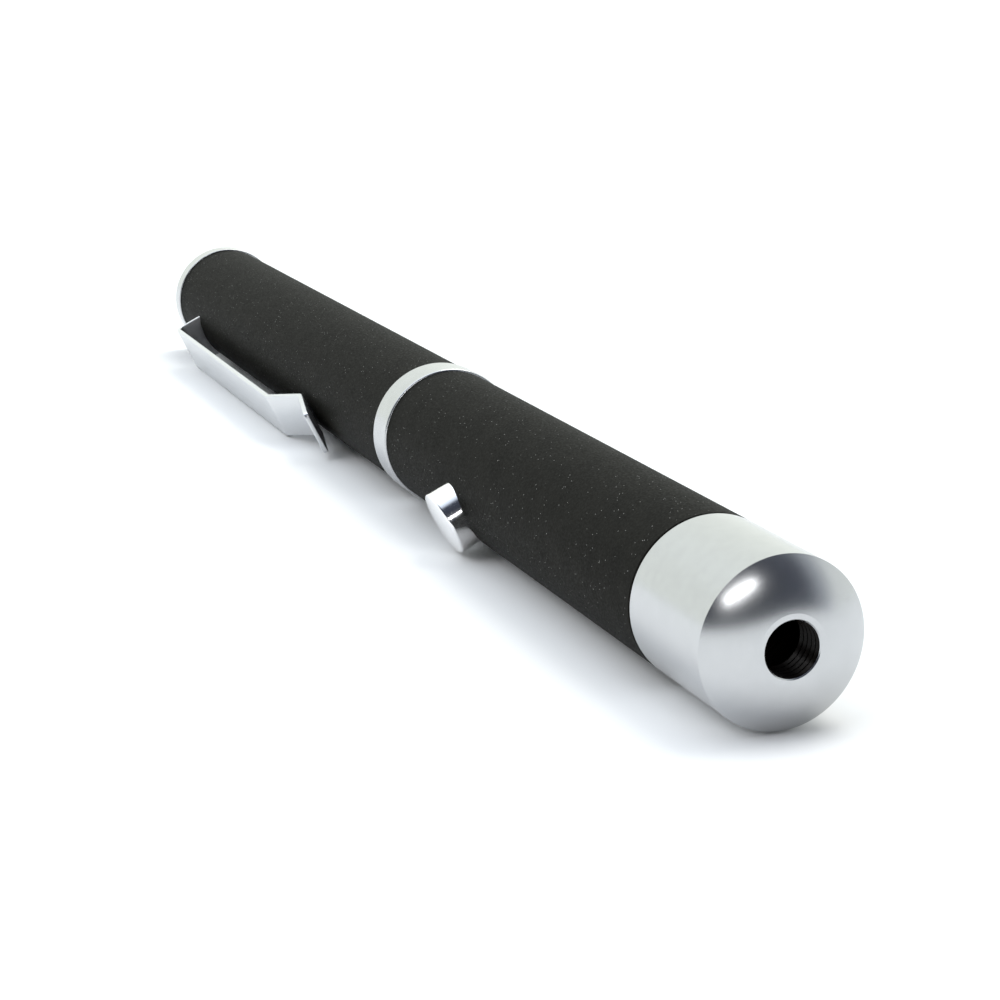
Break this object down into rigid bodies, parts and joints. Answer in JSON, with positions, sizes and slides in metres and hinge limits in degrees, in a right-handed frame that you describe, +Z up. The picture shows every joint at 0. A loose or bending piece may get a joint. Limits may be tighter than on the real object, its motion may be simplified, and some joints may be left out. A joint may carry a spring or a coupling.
{
  "type": "pen laser pointer",
  "caption": "Slim battery-powered laser pointer in a pen body, with a domed threaded nose, a push button, a screw coupling and a pocket clip.",
  "frame": {"origin": "centre of the aperture's mouth, on the pen's axis", "axes": "+X along the pen, the way the beam leaves; +Z up with the pen at rest on its ring, tail cap and clip edge"},
  "size_m": [0.1611, 0.0163, 0.0134],
  "materials": {
    "satin_metal": "satin, nickel coloured",
    "black_coat": "matt black coat with a fine grain",
    "brass": "turned",
    "lens_glass": "clear, polished",
    "filter_glass": "pale blue-green, polished",
    "crystal_glass": "clear, pale violet",
    "spring_steel": "bright wire",
    "gold_plate": "gold plated",
    "board_green": "green solder mask",
    "switch_plastic": "moulded black",
    "plunger_plastic": "moulded ivory",
    "trimmer_plastic": "moulded blue",
    "chip_plastic": "moulded black",
    "capacitor_tan": "fired tan",
    "resistor_black": "glazed black",
    "disc_black": "black laminate",
    "bright_chrome": "bright",
    "cell_metal": "bright plated",
    "cell_wrap": "plain dark green film",
    "cell_seal": "white paper",
    "bush_plastic": "moulded black",
    "clip_steel": "bright satin"
  },
  "bodies": {
    "front": {"nose_cap": "satin_metal", "front_barrel": "black_coat", "coupling_ring": "satin_metal", "module_housing": "brass", "lens_cell": "brass", "collimator_lens": "lens_glass", "lens_ring": "brass", "ir_filter": "filter_glass", "cell_spring": "spring_steel", "expander_lens": "lens_glass", "crystal_mount": "brass", "crystal": "crystal_glass", "pump_diode": "gold_plate", "diode_leads": "gold_plate", "diode_ring": "brass", "driver_board": "board_green", "switch_body": "switch_plastic", "trimmer_body": "trimmer_plastic", "driver_chips": "chip_plastic", "capacitors": "capacitor_tan", "resistors": "resistor_black", "contact_disc": "disc_black", "contact_spring": "gold_plate"},
    "button": {"button_cap": "bright_chrome"},
    "plunger": {"switch_plunger": "plunger_plastic"},
    "trimmer": {"trimmer_rotor": "gold_plate"},
    "front_cell": {"front_cell_can": "cell_metal", "front_cell_wrap": "cell_wrap", "front_cell_seal": "cell_seal", "front_cell_cap": "cell_metal"},
    "rear_cell": {"rear_cell_can": "cell_metal", "rear_cell_wrap": "cell_wrap", "rear_cell_seal": "cell_seal", "rear_cell_cap": "cell_metal"},
    "tail_contact": {"tail_spring": "spring_steel"},
    "rear": {"rear_barrel": "black_coat", "tail_cap": "satin_metal", "clip_bush": "bush_plastic", "clip_tongue": "clip_steel"},
    "clip": {"clip_arm": "clip_steel"}
  },
  "joints": [
    {"name": "button_press", "type": "slide", "parent": "front", "child": "button", "axis": [0, 0.891, 0.454], "range_m": [0, 0.0003], "stiffness_N_per_m": 4000},
    {"name": "plunger_press", "type": "slide", "parent": "front", "child": "plunger", "axis": [0, 0.891, 0.454], "range_m": [0, 0.0003]},
    {"name": "trimmer_turn", "type": "hinge", "parent": "front", "child": "trimmer", "pos_m": [-0.0427, 0, 0], "axis": [0, -0.891, -0.454], "range_deg": [-130, 130]},
    {"name": "front_cell_slide", "type": "slide", "parent": "front", "child": "front_cell", "axis": [-1, 0, 0], "range_m": [0, 0.024]},
    {"name": "rear_cell_slide", "type": "slide", "parent": "front", "child": "rear_cell", "axis": [-1, 0, 0], "range_m": [0, 0.036]},
    {"name": "rear_pull", "type": "slide", "parent": "front", "child": "tail_contact", "axis": [-1, 0, 0], "range_m": [0, 0.12]},
    {"name": "rear_turn", "type": "hinge", "parent": "tail_contact", "child": "rear", "pos_m": [-0.1, 0, 0], "axis": [1, 0, 0], "continuous": true},
    {"name": "clip_flex", "type": "hinge", "parent": "rear", "child": "clip", "pos_m": [-0.1467, -0.00839, -0.00425], "axis": [0, 0.4518, -0.8921], "range_deg": [0, 3], "stiffness_Nm_per_rad": 6}
  ],
  "couplings": [
    {"joint": "plunger_press", "follows": "button_press", "ratio": 1},
    {"joint": "front_cell_slide", "follows": "rear_pull", "ratio": 0.2},
    {"joint": "rear_cell_slide", "follows": "rear_pull", "ratio": 0.3}
  ]
}
